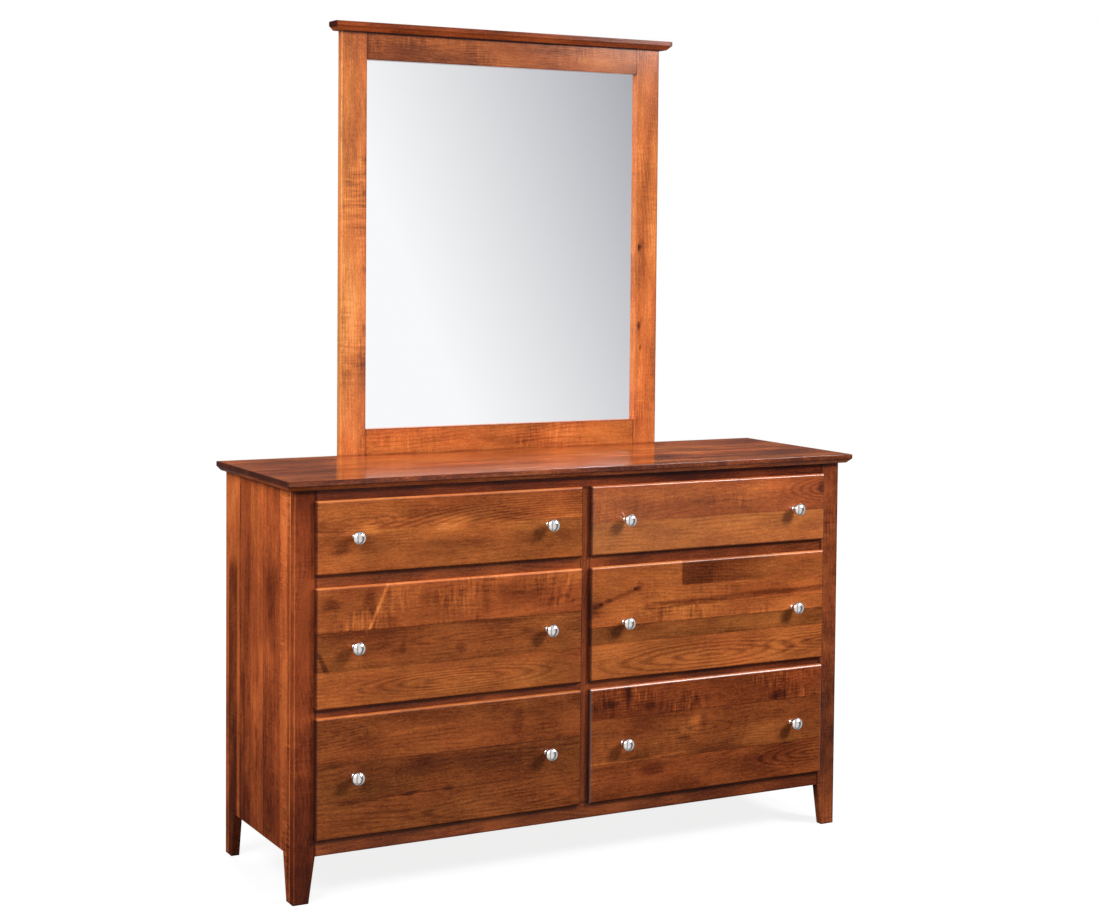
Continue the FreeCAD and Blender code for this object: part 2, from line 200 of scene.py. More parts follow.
def stained_maple(node, along, across, boards, *, insets=(), arches=(), streaks=(), patches=(), knots=(),
                  ends=-0.24, edges=(-0.08, -0.08), figure=1.0, drawn=1.0, fine=1.0,
                  gloss=0.12, polished=False, build=0.0, seed=0.0):
    """Give a node of the frame a finish of lacquered maple, glued up from boards side by side.

    A board is (share of the width, tone, redness, curl), counted from the low edge. Figure in it is
    placed by shares of the piece's length and width:
      insets, strips of another tone: from length, to length, from width, to width, tone, share that fades
      arches, nested: length, width, stretch, spacing, reach, strength, board
      streaks, straight: from length, from width, to length, to width, half width, tone
      patches, soft: length, width, half length, half width, tone
      knots: length, width, radius
    ends and edges are how much the tone changes on the ends and on the low and the high edge: on an edge a
    rise is a painted highlight and a fall is painted shade, and on the ends the fall is partly stain in the
    end grain and partly painted shade. Some patches and insets are painted light and shade too, as noted
    where they are given. figure is how lively the chance variation is, drawn how far it is drawn out along
    the grain, and fine how narrow it is. gloss is how much the lacquer shines, polished lacquer is rubbed
    down until it hides the pores, and build is how much of it gathers on the rounded upper edge and on the ends.
    """
    material, wood = finish(f"{node}_maple")
    low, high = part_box(node)
    a_low, a_span = low["XYZ".index(along)], (high - low)["XYZ".index(along)]
    c_low, c_span = low["XYZ".index(across)], (high - low)["XYZ".index(across)]
    axes = dict(zip("XYZ", wood.apart(wood.spot())))
    a = axes[along] - a_low
    c = axes[across] - c_low
    d = axes[next(axis for axis in "XYZ" if axis not in (along, across))]

    seams = [0.0]
    for board in boards:
        seams.append(seams[-1] + board[0])
    picked = wood.node("ShaderNodeValToRGB", {
        "steps": "CONSTANT", "stops": [(seam, (*board[1:], 1)) for seam, board in zip(seams, boards)],
    }, {"Fac": c / c_span})
    tone, red, curl = wood.apart(picked)

    # Each board takes its chance variation from a place of its own
    own = tone * 37.7 + red * 19.3 + curl * 11.9 + seed

    def cloud(along_scale, across_scale, detail=2.0):
        """Chance variation about zero, drawn out along the grain; scales are counts in a metre."""
        vector = wood.together(a * (along_scale / drawn) + own, c * across_scale + own * 1.7, d * across_scale)
        return wood.noise(vector, 1.0, detail) - 0.5

    wander = cloud(5, 14)
    blotch = cloud(6, 14 * fine, 3)
    smoke = cloud(2.2, 42 * fine, 3)
    grain = cloud(34, 250, 3)
    pores = cloud(150, 420)
    ripple = cloud(190, 26, 1) + cloud(90, 12, 1)
    patchy = cloud(7, 15, 1).rise(-0.08, 0.16)

    # Growth lines, unevenly spaced, that follow the board and swerve where it grew crooked
    grown = (c * 700 + wander * 16 + cloud(1.3, 5, 1) * 90 + own).math("SINE")
    line = (grown * 0.5 + 0.5) ** 3 * (patchy * 0.8 + 0.2)

    shade = tone + (blotch * 0.56 + smoke * 0.16 + grain * 0.26 + pores * 0.38
                    + ripple * patchy * curl * 0.5 - line * 0.1) * figure
    for from_a, to_a, from_c, to_c, change, fade in insets:
        whole = to_a - (to_a - from_a) * fade
        reach = ((a / a_span).rise(from_a - 0.002, from_a + 0.002)
                 * (a / a_span + wander * 0.1).fall(whole - 0.004, to_a))
        width = (c / c_span).rise(from_c - 0.006, from_c + 0.006) * (c / c_span).fall(to_c - 0.006, to_c + 0.006)
        shade = shade + reach * width * change
    for seam in seams[1:-1]:
        shade = shade - (c - seam * c_span).math("ABSOLUTE").fall(*GLUE_LINE) * 0.1
    for at_a, at_c, stretch, spacing, reach, strength, board in arches:
        radius = distance((a - at_a * a_span) / stretch, c - at_c * c_span) + wander * spacing * 2.0
        arch = ((radius * (math.tau / spacing)).math("SINE") * 0.5 + 0.5) ** 2 - 0.3
        inside = (c.math("GREATER_THAN", seams[board] * c_span)
                  * c.math("LESS_THAN", seams[board + 1] * c_span))
        shade = shade - arch * radius.fall(reach * 0.6, reach) * inside * strength
    for from_a, from_c, to_a, to_c, half, change in streaks:
        run_a, run_c = (to_a - from_a) * a_span, (to_c - from_c) * c_span
        length = math.hypot(run_a, run_c)
        past_a, past_c = a - from_a * a_span, c - from_c * c_span
        way = (past_a * run_a + past_c * run_c) / length
        gap = ((past_a * run_c - past_c * run_a) / length + (wander + grain * 0.3) * 0.02).math("ABSOLUTE")
        reach = way.rise(-half, half) * way.fall(length - half, length + half)
        shade = shade + gap.fall(half * 0.3, half) * reach * change
    for at_a, at_c, half_a, half_c, change in patches:
        way = (a - at_a * a_span) / (half_a * a_span) + wander * 1.4 + grain * 0.6
        gap = (c - at_c * c_span) / (half_c * c_span) + blotch * 0.9
        shade = shade + distance(way, gap).fall(0.2, 1.0) * change
    for at_a, at_c, radius in knots:
        reach = (distance((a - at_a * a_span) * 0.5, c - at_c * c_span)
                 + (wander + grain * 0.6) * radius)
        shade = shade - reach.fall(radius * 0.2, radius) * 0.4

    # The ends are darker, partly as stain soaked into the end grain and partly as painted shade, as at the
    # drawer fronts beside their gaps. Along the low and the high edge a rise in tone is a painted highlight on
    # the rounded arris and a fall is painted shade, as under the mirror cap, along the rails and below the
    # drawer fronts.
    end, below, above = a.math("MINIMUM", a_span - a), c, c_span - c
    shade = shade + end.fall(*END_STAIN_AND_SHADE) * ends
    shade = shade + below.fall(*EDGE_HIGHLIGHT_AND_SHADE) * edges[0] + above.fall(*EDGE_HIGHLIGHT_AND_SHADE) * edges[1]

    colour = wood.node("ShaderNodeValToRGB", {"stops": WOOD_TONES}, {"Fac": shade})
    cast = wood.mixed(red + cloud(4, 11 * fine) * 1.2, BROWN_CAST, RED_CAST)
    bump = wood.node("ShaderNodeBump", {}, {
        "Strength": 0.3 if polished else 0.04, "Distance": 0.0004,
        "Height": smoke if polished else grain + pores})
    sockets = {"Base Color": wood.mixed(1.0, colour, cast, "MULTIPLY"), "Roughness": grain * 0.1 + 0.16,
               "Specular IOR Level": gloss, "Normal": bump}
    if build:
        gathered = above.fall(*THICK_LACQUER).math("MAXIMUM", end.fall(*THICK_LACQUER) * 0.4)
        sockets |= {"Coat Weight": gathered * build, "Coat Roughness": 0.42, "Coat IOR": 2.2}
    wood.surface(sockets)
    dress(material, node)


# On the left panel the front edge is raised as a painted highlight along its rounded arris, and the broad
# patches at the top and the foot make it lighter above and darker below as painted light and shade.
stained_maple(
    "left_side_panel", "Z", "Y",
    [(0.15, 0.68, 0.95, 1.0), (0.25, 0.46, 1.1, 0.3), (0.2, 0.59, 0.95, 0.2), (0.17, 0.45, 1.1, 0.2),
     (0.23, 0.65, 0.85, 0.3)],
    insets=[(-0.1, 0.81, 0.82, 0.95, -0.36, 0.08), (0.02, 1.1, 0.012, 0.045, -0.2, 0.0)],
    streaks=[(0.5, 0.775, 0.97, 0.77, 0.005, -0.2), (0.42, 0.64, 0.99, 0.64, 0.003, -0.16),
             (0.05, 0.5, 1.0, 0.5, 0.003, -0.12), (0.1, 0.235, 0.9, 0.225, 0.003, -0.12),
             (0.1, 0.7, 0.5, 0.7, 0.006, -0.16)],
    patches=[(0.76, 0.3, 0.13, 0.17, -0.14), (0.56, 0.34, 0.08, 0.16, 0.12), (0.9, 0.9, 0.12, 0.14, 0.1),
             (0.95, 0.5, 0.2, 1.3, 0.06), (0.5, 0.5, 0.16, 0.5, 0.08), (0.47, 0.72, 0.08, 0.07, -0.16),
             (0.08, 0.5, 0.4, 1.3, -0.18), (0.36, 0.52, 0.03, 0.04, -0.2), (0.5, 0.06, 0.16, 0.08, 0.1)],
    edges=(0.22, 0.05), figure=1.2, drawn=0.8, fine=1.7, gloss=0.03, seed=1.3)
stained_maple(
    "right_side_panel", "Z", "Y",
    [(0.24, 0.52, 0.8, 0.2), (0.18, 0.46, 0.85, 0.1), (0.2, 0.56, 0.7, 0.1), (0.2, 0.48, 0.8, 0.3),
     (0.18, 0.54, 0.75, 0.2)],
    arches=[(0.5, 0.52, 9, 0.007, 0.03, 0.12, 2)],
    streaks=[(0.2, 0.3, 0.9, 0.28, 0.007, -0.14)],
    patches=[(0.35, 0.2, 0.2, 0.1, -0.18), (0.7, 0.75, 0.14, 0.08, -0.14), (0.06, 0.5, 0.2, 0.9, -0.16)],
    edges=(-0.26, -0.3), figure=1.1, drawn=0.8, fine=1.7, gloss=0.03, seed=5.9)

# Face frame: outer stiles, rails and centre stile of the same maple, glued to the front edges of the
# sides. The stiles' grain stands upright and runs down into the tapered feet; the rails' lies level.
# On both outer stiles the patch at the top end is painted shade under the top's overhang, and on the left stile
# the inset near its outer side is a painted highlight along the rounded corner.
stained_maple(
    "left_front_stile", "Z", "X", [(1.0, 0.345, 0.95, 0.4)],
    insets=[(-0.1, 1.1, 0.02, 0.075, 0.2, 0.0)],
    patches=[(0.02, 0.5, 0.2, 1.8, -0.3), (0.97, 0.5, 0.06, 1.2, -0.12), (0.6, 0.5, 0.2, 1.0, 0.08),
             (0.24, 0.5, 0.2, 1.6, -0.12)],
    edges=(0.04, -0.24), figure=0.8, drawn=0.5, fine=1.5, gloss=0.06, seed=7.7)
stained_maple(
    "right_front_stile", "Z", "X", [(1.0, 0.4, 0.55, 0.4)],
    patches=[(0.04, 0.5, 0.1, 1.6, 0.04), (0.3, 0.5, 0.34, 1.6, -0.2), (0.97, 0.5, 0.06, 1.2, -0.1)],
    edges=(-0.24, -0.24), figure=1.4, drawn=0.5, gloss=0.2, seed=10.8)
stained_maple("centre_stile", "Z", "X", [(1.0, 0.36, 0.8, 0.1)], seed=2.9)
# The rails are set darker than the drawer fronts, darker again towards the right end and along both edges, as
# painted shade from the top and the drawer fronts that stand over them.
for rail, rail_tone, redness in (("top_rail", 0.24, 0.9), ("upper_drawer_rails", 0.38, 0.6),
                                 ("lower_drawer_rails", 0.36, 0.6), ("bottom_rail", 0.4, 0.5)):
    stained_maple(rail, "X", "Z", [(1.0, rail_tone, redness, 0.1)], patches=[(0.8, 0.5, 0.4, 2.0, -0.12)],
                  edges=(-0.16, -0.16), figure=1.2, seed=rail_tone * 9)

# Top: wide maple boards glued up lengthwise, with a bevel worked under the front and the ends.
# It is screwed down from inside the case and rubbed to a higher polish than the rest.
# The front edge, with its band and bevel, is darkened as painted shade.
stained_maple(
    "top_board", "X", "Y",
    [(0.26, 0.58, 0.7, 0.1), (0.25, 0.52, 0.8, 0.1), (0.27, 0.6, 0.6, 0.1), (0.22, 0.54, 0.7, 0.1)],
    streaks=[(0.3, 0.42, 0.95, 0.44, 0.016, 0.24), (0.2, 0.3, 0.7, 0.29, 0.018, -0.26),
             (0.45, 0.62, 1.0, 0.6, 0.014, -0.24), (0.35, 0.12, 0.8, 0.13, 0.014, 0.2),
             (0.5, 0.2, 1.0, 0.18, 0.012, -0.26)],
    patches=[(0.08, 0.5, 0.12, 0.7, -0.16), (0.92, 0.3, 0.08, 0.3, -0.14), (0.76, 0.6, 0.08, 0.5, 0.16)],
    ends=-0.5, edges=(-0.34, -0.12), figure=1.6, gloss=0.3, polished=True, seed=5.5)

# Drawer fronts: each glued up from a few boards picked at random, so that tone and figure change from
# board to board. The face stands proud of the frame and its edges are rounded over.
# On the drawer fronts the high edge is raised as a painted highlight along the rounded top, the low edge lowered
# as painted shadow below the face, and the ends darkened partly as painted shade. The lower row is set darker
# than the rows above.
FRONT = {"ends": -0.44, "edges": (-0.3, 0.34), "figure": 1.15, "gloss": 0.05, "build": 1.0}
LEFT_FRONT = FRONT | {"build": 0.16}
stained_maple(
    "upper_left_drawer_front", "X", "Z", [(0.58, 0.5, 0.28, 0.1), (0.42, 0.5, 0.44, 0.1)],
    arches=[(0.92, 0.5, 8, 0.0055, 0.085, 0.19, 1), (0.16, 0.7, 6, 0.007, 0.03, 0.1, 1)],
    streaks=[(0.0, 0.56, 1.0, 0.6, 0.006, 0.1)],
    patches=[(0.5, 0.6, 0.09, 0.16, 0.26), (0.19, 0.6, 0.06, 0.14, 0.22), (0.97, 0.8, 0.08, 0.24, -0.06),
             (0.5, 0.33, 0.2, 0.09, -0.14), (0.7, 0.49, 0.26, 0.12, 0.12), (0.09, 0.3, 0.06, 0.05, -0.16),
             (0.38, 0.8, 0.06, 0.16, -0.1), (0.8, 0.2, 0.2, 0.2, -0.08)],
    **LEFT_FRONT, seed=0.0)
stained_maple(
    "upper_right_drawer_front", "X", "Z", [(0.47, 0.62, 0.2, 0.1), (0.53, 0.48, 0.58, 0.5)],
    arches=[(1.02, 0.78, 4, 0.007, 0.045, 0.14, 1)],
    patches=[(0.72, 0.86, 0.2, 0.12, 0.12), (0.99, 0.78, 0.03, 0.16, -0.22), (0.35, 0.7, 0.3, 0.2, -0.08),
             (0.93, 0.25, 0.07, 0.2, -0.08)],
    **FRONT | {"edges": (-0.3, 0.2), "gloss": 0.28, "build": 0.18}, seed=6.3)
stained_maple(
    "middle_left_drawer_front", "X", "Z",
    [(0.31, 0.53, 0.4, 0.1), (0.32, 0.41, 0.28, 0.1), (0.37, 0.49, 0.6, 0.9)],
    arches=[(0.52, 0.15, 10, 0.0058, 0.036, 0.16, 0), (0.57, 0.5, 9, 0.007, 0.022, 0.12, 1)],
    streaks=[(0.26, 1.0, 0.18, 0.62, 0.005, 0.26), (0.95, 0.97, 0.925, 0.72, 0.006, 0.14),
             (0.0, 0.47, 0.04, 0.31, 0.008, -0.24), (0.0, 0.62, 1.0, 0.62, 0.008, -0.08)],
    patches=[(0.05, 0.86, 0.05, 0.09, -0.18), (0.19, 0.86, 0.04, 0.16, -0.2), (0.27, 0.7, 0.04, 0.1, -0.18),
             (0.62, 0.82, 0.03, 0.2, -0.14), (0.72, 0.86, 0.08, 0.12, -0.12), (0.31, 0.45, 0.02, 0.08, -0.16),
             (0.53, 0.42, 0.03, 0.08, -0.16), (0.42, 0.88, 0.06, 0.1, -0.1)],
    **LEFT_FRONT, seed=12.6)
stained_maple(
    "middle_right_drawer_front", "X", "Z",
    [(0.32, 0.57, 0.36, 0.1), (0.15, 0.42, 0.06, 0.1), (0.13, 0.57, 0.46, 0.9), (0.4, 0.55, 0.42, 0.3)],
    insets=[(0.376, 0.82, 0.785, 1.02, -0.3, 0.5)],
    arches=[(0.5, 0.13, 9, 0.0085, 0.046, 0.19, 0), (1.0, 0.16, 7, 0.0075, 0.036, 0.17, 0)],
    streaks=[(0.22, 0.61, 1.0, 0.665, 0.011, -0.24), (0.0, 0.65, 0.2, 0.79, 0.009, -0.16)],
    patches=[(0.0, 0.62, 0.07, 0.1, -0.24), (0.2, 0.82, 0.02, 0.07, -0.16), (0.62, 0.72, 0.14, 0.08, -0.12),
             (0.07, 0.7, 0.02, 0.03, -0.16), (0.185, 0.79, 0.015, 0.03, -0.2), (0.3, 0.56, 0.05, 0.04, -0.14),
             (0.12, 0.58, 0.06, 0.08, 0.12), (0.9, 0.72, 0.1, 0.05, 0.08), (0.58, 0.4, 0.24, 0.1, 0.1)],
    knots=[(0.04, 0.67, 0.004), (0.18, 0.785, 0.0035)],
    **FRONT | {"build": 0.28}, seed=18.9)
stained_maple(
    "lower_left_drawer_front", "X", "Z",
    [(0.3, 0.37, 0.34, 0.1), (0.31, 0.32, 0.22, 0.1), (0.39, 0.4, 0.38, 0.2)],
    arches=[(0.0, 0.86, 4, 0.009, 0.05, 0.07, 2), (0.75, 0.12, 9, 0.008, 0.04, 0.1, 0)],
    streaks=[(0.25, 0.8, 0.5, 0.84, 0.005, 0.1), (0.08, 0.28, 0.5, 0.31, 0.004, -0.08)],
    patches=[(0.75, 0.78, 0.03, 0.16, -0.12), (0.45, 0.5, 0.4, 0.12, -0.1), (0.34, 0.3, 0.04, 0.03, -0.16),
             (0.48, 0.3, 0.03, 0.03, -0.16), (0.12, 0.28, 0.06, 0.03, -0.14)],
    **LEFT_FRONT, seed=25.2)
stained_maple(
    "lower_right_drawer_front", "X", "Z",
    [(0.32, 0.36, 0.52, 0.1), (0.4, 0.38, 0.26, 0.3), (0.28, 0.31, 0.74, 1.0)],
    arches=[(0.97, 0.2, 6, 0.008, 0.04, 0.16, 0), (0.48, 0.55, 5, 0.008, 0.025, 0.12, 1)],
    streaks=[(0.0, 0.32, 0.4, 0.35, 0.004, 0.14), (0.15, 1.0, 0.16, 0.86, 0.012, -0.24),
             (0.18, 1.0, 0.2, 0.84, 0.006, 0.14)],
    patches=[(0.08, 0.85, 0.06, 0.06, -0.2), (0.24, 0.8, 0.04, 0.08, -0.16), (0.48, 0.62, 0.03, 0.12, -0.14),
             (0.44, 0.63, 0.03, 0.1, 0.14), (0.8, 0.76, 0.06, 0.06, -0.22), (0.4, 0.48, 0.05, 0.03, -0.16),
             (0.27, 0.24, 0.08, 0.08, -0.16), (0.9, 0.88, 0.1, 0.12, 0.08), (0.68, 0.6, 0.22, 0.12, -0.08)],
    **FRONT, seed=31.5)

# Mirror frame: two stiles, a top and a bottom rail, and a cap with the top board's bevel, all from
# plainer maple, set lighter in tone than the case. It stands on the top and is held by two supports behind.
# On both mirror stiles the patch at the top end is painted shade under the cap. The left stile's outer edge and
# the right stile's inner edge are raised as a painted highlight on the rounded arris, and their other edges
# lowered as painted shade.
stained_maple(
    "mirror_left_stile", "Z", "X", [(1.0, 0.73, 0.3, 0.7)],
    patches=[(0.3, 0.95, 0.02, 0.16, -0.24), (0.44, 0.92, 0.012, 0.16, -0.2), (1.0, 0.5, 0.09, 1.6, -0.2),
             (0.62, 0.93, 0.012, 0.14, -0.2), (0.7, 0.9, 0.016, 0.16, -0.2), (0.2, 0.85, 0.08, 0.24, -0.14),
             (0.4, 0.4, 0.2, 0.7, 0.1)],
    edges=(0.2, -0.14), figure=1.5, fine=1.8, gloss=0.3, seed=0.4)
stained_maple(
    "mirror_right_stile", "Z", "X", [(1.0, 0.7, 0.42, 0.3)],
    patches=[(0.05, 0.4, 0.08, 0.5, -0.16), (0.3, 0.22, 0.05, 0.2, -0.18), (0.92, 0.5, 0.2, 1.6, -0.1),
             (0.5, 0.25, 0.03, 0.16, -0.18), (0.5, 0.7, 0.2, 0.4, 0.08)],
    knots=[(0.3, 0.2, 0.008), (0.245, 0.26, 0.007), (0.5, 0.17, 0.007)],
    edges=(0.1, -0.3), figure=1.5, fine=1.6, gloss=0.2, seed=3.1)
# The top rail is set darker than the stiles, and darker still along its upper edge, as painted shade under the
# cap.
stained_maple(
    "mirror_top_rail", "X", "Z", [(1.0, 0.44, 0.4, 0.6)],
    patches=[(0.05, 0.5, 0.4, 1.6, -0.1), (0.9, 0.5, 0.4, 1.6, 0.1)],
    edges=(-0.14, -0.5), figure=1.1, gloss=0.22, seed=4.1)
stained_maple(
    "mirror_bottom_rail", "X", "Z", [(1.0, 0.62, 0.46, 0.4)],
    patches=[(0.25, 0.5, 0.06, 0.5, -0.12), (0.6, 0.4, 0.1, 0.4, -0.08)],
    edges=(-0.16, -0.14), figure=1.4, seed=3.6)
stained_maple("mirror_cap", "X", "Y", [(1.0, 0.42, 0.85, 0.1)], ends=-0.6, edges=(-0.14, -0.1), seed=8.8)
stained_maple("mirror_supports", "Z", "X", [(1.0, 0.46, 0.5, 0.1)], seed=3.3)

# Mirror glass: clear float glass, silvered and painted behind. It lies in a rebate of the frame and is
# held there by a thin backing board.
silvered, glass = finish("silvered_glass")
haze = glass.noise(glass.spot(), 3.0, 2.0)
glass.surface({"Base Color": (0.965, 0.97, 0.985, 1), "Metallic": 1.0, "Roughness": haze * 0.008 + 0.004})
dress(silvered, "mirror_glass")


# Inside of the case: partition, slide battens and back rails of pale hardwood, and a back panel of
# thin birch plywood let into rebates, with the same plywood behind the glass.
def pale_wood(name, along, across, light, brown, ends=None):
    """Unstained wood with a fine even grain; in a pair of boxes it turns to run back in their sides.

    ends gives how far the middle of a box is from the middle of the case, and half the length of its ends.
    """
    material, wood = finish(name)
    axes = dict(zip("XYZ", wood.apart(wood.spot())))
    depth = next(axis for axis in "XYZ" if axis not in (along, across))
    a, c, d = axes[along], axes[across], axes[depth]
    if ends:
        middle, half = ends
        turned = (a.math("ABSOLUTE") - middle).math("ABSOLUTE").math("GREATER_THAN", half)
        a, d = a + (d - a) * turned, d + (a - d) * turned

    def cloud(along_scale, across_scale, detail=2.0):
        """Chance variation, drawn out along the grain; scales are counts in a metre."""
        return wood.noise(wood.together(a * along_scale, c * across_scale, d * across_scale), 1.0, detail)

    fibre = cloud(10, 380)
    streak = cloud(1.5, 30, 3)
    ring = (c * 420 + cloud(2, 6) * 26).math("SINE")
    shade = streak * 0.7 + fibre * 0.3 + ring * 0.05
    bump = wood.node("ShaderNodeBump", {}, {"Strength": 0.08, "Distance": 0.0003, "Height": fibre})
    wood.surface({"Base Color": wood.mixed(shade.rise(0.25, 0.8), light, brown),
                  "Roughness": fibre * 0.15 + 0.38, "Normal": bump})
    return material


PALE_MAPLE = stain(224, 198, 160), stain(198, 164, 122)
BIRCH = stain(222, 190, 144), stain(190, 150, 102)
dress(pale_wood("inner_case_wood", "Y", "Z", *PALE_MAPLE), "centre_partition", "slide_battens")
dress(pale_wood("back_rail_wood", "X", "Z", *PALE_MAPLE), "back_rails")
dress(pale_wood("back_plywood", "Z", "X", *BIRCH), "back_panel", "mirror_backing")


# Drawer slides: telescopic runners, three to a side, rolled from steel strip and bright zinc plated.
# The outer ones are fixed to the case, the inner ones to the drawer boxes.
def worked_metal(name, colour, rough, scale):
    """Bare metal with the faint unevenness of its plating."""
    material, metal = finish(name)
    cloud = metal.noise(metal.spot(), scale, 3.0)
    worn = tuple(part * 0.82 for part in colour[:3]) + (1,)
    bump = metal.node("ShaderNodeBump", {}, {"Strength": 0.04, "Distance": 0.0002, "Height": cloud})
    metal.surface({"Base Color": metal.mixed(cloud.rise(0.35, 0.75), colour, worn), "Metallic": 1.0,
                   "Roughness": cloud * 0.12 + rough, "Normal": bump})
    return material


DRAWERS = [f"{row}_{column}" for row in ("upper", "middle", "lower") for column in ("left", "right")]
zinc = worked_metal("bright_zinc", (0.62, 0.64, 0.67, 1), 0.24, 90)
dress(zinc, "case_slides",
      *[f"{drawer}_{member}_slides" for drawer in DRAWERS for member in ("drawer", "middle")])

# Drawer boxes: pale maple sides and ends, dovetailed at the corners and clear-coated, with a bottom
# of birch plywood slid into grooves. The grain of the sides runs back, that of the ends across.
BOX_MIDDLE = 0.34975
BOX_END_HALF = 0.30975
box_wood = pale_wood("drawer_box_wood", "X", "Z", *PALE_MAPLE, ends=(BOX_MIDDLE, BOX_END_HALF))
bottom_ply = pale_wood("drawer_bottom_plywood", "X", "Y", *BIRCH)
for drawer in DRAWERS:
    dress(box_wood, f"{drawer}_drawer_box")
    dress(bottom_ply, f"{drawer}_drawer_bottom")

# Knobs: turned from solid metal and plated in satin nickel, with a small foot, a waisted neck, a flare
# with a groove behind the rim and a shallow dome. Two stand on each drawer front.
KNOB_RADIUS = 0.015
KNOB_TURNS = 48
MILLIMETRES = 1000
KNOB_PROFILE = [  # radius and reach from the drawer front, in millimetres
    (0.0, 0.0), (6.5, 0.0), (7.1, 0.3), (7.2, 0.9), (6.8, 1.6), (6.1, 2.2), (5.8, 3.2), (5.9, 4.6),
    (6.3, 6.4), (6.9, 8.4), (7.8, 10.6), (8.9, 13.0), (10.1, 15.2), (11.3, 17.2), (12.3, 18.8),
    (12.9, 20.0), (12.9, 20.7), (12.5, 21.2), (12.5, 21.8), (13.5, 22.3), (14.8, 23.0), (15.5, 23.9),
    (15.8, 25.0), (15.8, 26.0), (15.5, 27.2), (14.8, 28.6), (13.5, 30.1), (11.7, 31.5), (9.6, 32.7),
    (7.3, 33.6), (4.9, 34.2), (2.4, 34.5), (0.0, 34.6)]


def turned_knob():
    """One knob, turned about a line that points forward from its foot."""
    shape = bmesh.new()
    ring_before = None
    for radius, reach in KNOB_PROFILE:
        count = KNOB_TURNS if radius else 1
        ring = [shape.verts.new((radius / MILLIMETRES * math.cos(i * math.tau / count), -reach / MILLIMETRES,
                                 radius / MILLIMETRES * math.sin(i * math.tau / count))) for i in range(count)]
        if ring_before:
            for i in range(KNOB_TURNS):
                corners = []
                for verts, step in ((ring_before, i), (ring_before, i + 1), (ring, i + 1), (ring, i)):
                    corner = verts[step % len(verts)]
                    if corner not in corners:
                        corners.append(corner)
                shape.faces.new(corners)
        ring_before = ring
    bmesh.ops.recalc_face_normals(shape, faces=shape.faces)
    for face in shape.faces:
        face.smooth = True
    mesh = bpy.data.meshes.new("turned_knob")
    shape.to_mesh(mesh)
    shape.free()
    return mesh


def new_tree(name, inputs):
    """An empty tree with its named inputs, its wiring and a value for each input."""
    tree = bpy.data.node_groups.new(name, "GeometryNodeTree")
    tree.interface.new_socket("Geometry", in_out="OUTPUT", socket_type="NodeSocketGeometry")
    for label, kind in [("Geometry", "Geometry")] + inputs:
        tree.interface.new_socket(label, in_out="INPUT", socket_type=f"NodeSocket{kind}")
    wiring = Wiring(tree)
    given = wiring.node("NodeGroupInput")
    return tree, wiring, [Value(wiring, socket) for socket in given.socket.node.outputs][:len(inputs) + 1]


def close_tree(wiring, instances, material):
    """End a tree in real geometry with its finish."""
    real = wiring.node("GeometryNodeRealizeInstances", {}, {0: instances})
    done = wiring.node("GeometryNodeSetMaterial", {}, {"Geometry": real, "Material": material})
    wiring.node("NodeGroupOutput", {}, {0: done})


def set_out(name, tree, mesh, sizes):
    """Let a tree work on a mesh with the given sizes, and keep what it makes as a plain piece."""
    piece = bpy.data.objects.new(name, mesh)
    bpy.context.scene.collection.objects.link(piece)
    modifier = piece.modifiers.new("set_out", "NODES")
    modifier.node_group = tree
    for socket in tree.interface.items_tree:
        if socket.in_out == "INPUT" and socket.name in sizes:
            modifier[socket.identifier] = sizes[socket.name]
    made = bpy.data.meshes.new_from_object(piece.evaluated_get(bpy.context.evaluated_depsgraph_get()))
    piece.modifiers.clear()
    piece.data = made
    return piece


nickel = worked_metal("satin_nickel", (0.79, 0.755, 0.73, 1), 0.11, 240)
knob_row, wiring, (knob, count, start, pitch) = new_tree(
    "knob_row", [("Knobs", "Int"), ("First knob", "Vector"), ("Pitch", "Vector")])
places = wiring.node("GeometryNodeMeshLine", {}, {"Count": count, "Start Location": start, "Offset": pitch})
close_tree(wiring, wiring.node("GeometryNodeInstanceOnPoints", {}, {"Points": places, "Instance": knob}), nickel)
knob_mesh = turned_knob()
knob_places = {}
for drawer in DRAWERS:
    low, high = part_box(f"{drawer}_knobs")
    first = Vector((low.x + KNOB_RADIUS, high.y, (low.z + high.z) / 2))
    last = Vector((high.x - KNOB_RADIUS, high.y, (low.z + high.z) / 2))
    knob_places[drawer] = [first, last]
    knobs = set_out(f"{drawer}_turned_knobs", knob_row, knob_mesh, {
        "Knobs": 2, "First knob": first, "Pitch": last - first})
    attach(knobs, f"{drawer}_drawer")
    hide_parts(f"{drawer}_knobs")

# Screws: zinc-plated, with flat cross-slotted heads. They hold the mirror supports and the back panel
# from behind, the slides to the drawer boxes, and the knobs from inside the drawers.
HEAD_CORNERS = 20
HEAD_TAPER = 0.72
OVERCUT = 0.0001
screw_heads, wiring, (places, radius, height, wide, long, deep, facing, seed) = new_tree("screw_heads", [
    ("Head radius", "Float"), ("Head height", "Float"), ("Slot width", "Float"), ("Slot length", "Float"),
    ("Slot depth", "Float"), ("Facing", "Vector"), ("Seed", "Int")])
head = wiring.node("GeometryNodeMeshCone", {}, {
    "Vertices": HEAD_CORNERS, "Radius Top": radius * HEAD_TAPER, "Radius Bottom": radius, "Depth": height})
lift = wiring.node("ShaderNodeCombineXYZ", {}, {2: height - deep * 0.5 + OVERCUT / 2})
slots = []
for bar_x, bar_y in ((long, wide), (wide, long)):
    bar = wiring.node("GeometryNodeMeshCube", {}, {"Size": wiring.together(bar_x, bar_y, deep + OVERCUT)})
    slots.append(wiring.node("GeometryNodeTransform", {}, {"Geometry": bar, "Translation": lift}))
cut = wiring.node("GeometryNodeMeshBoolean", {"operation": "DIFFERENCE"}, {"Mesh 1": head, "Mesh 2": slots})
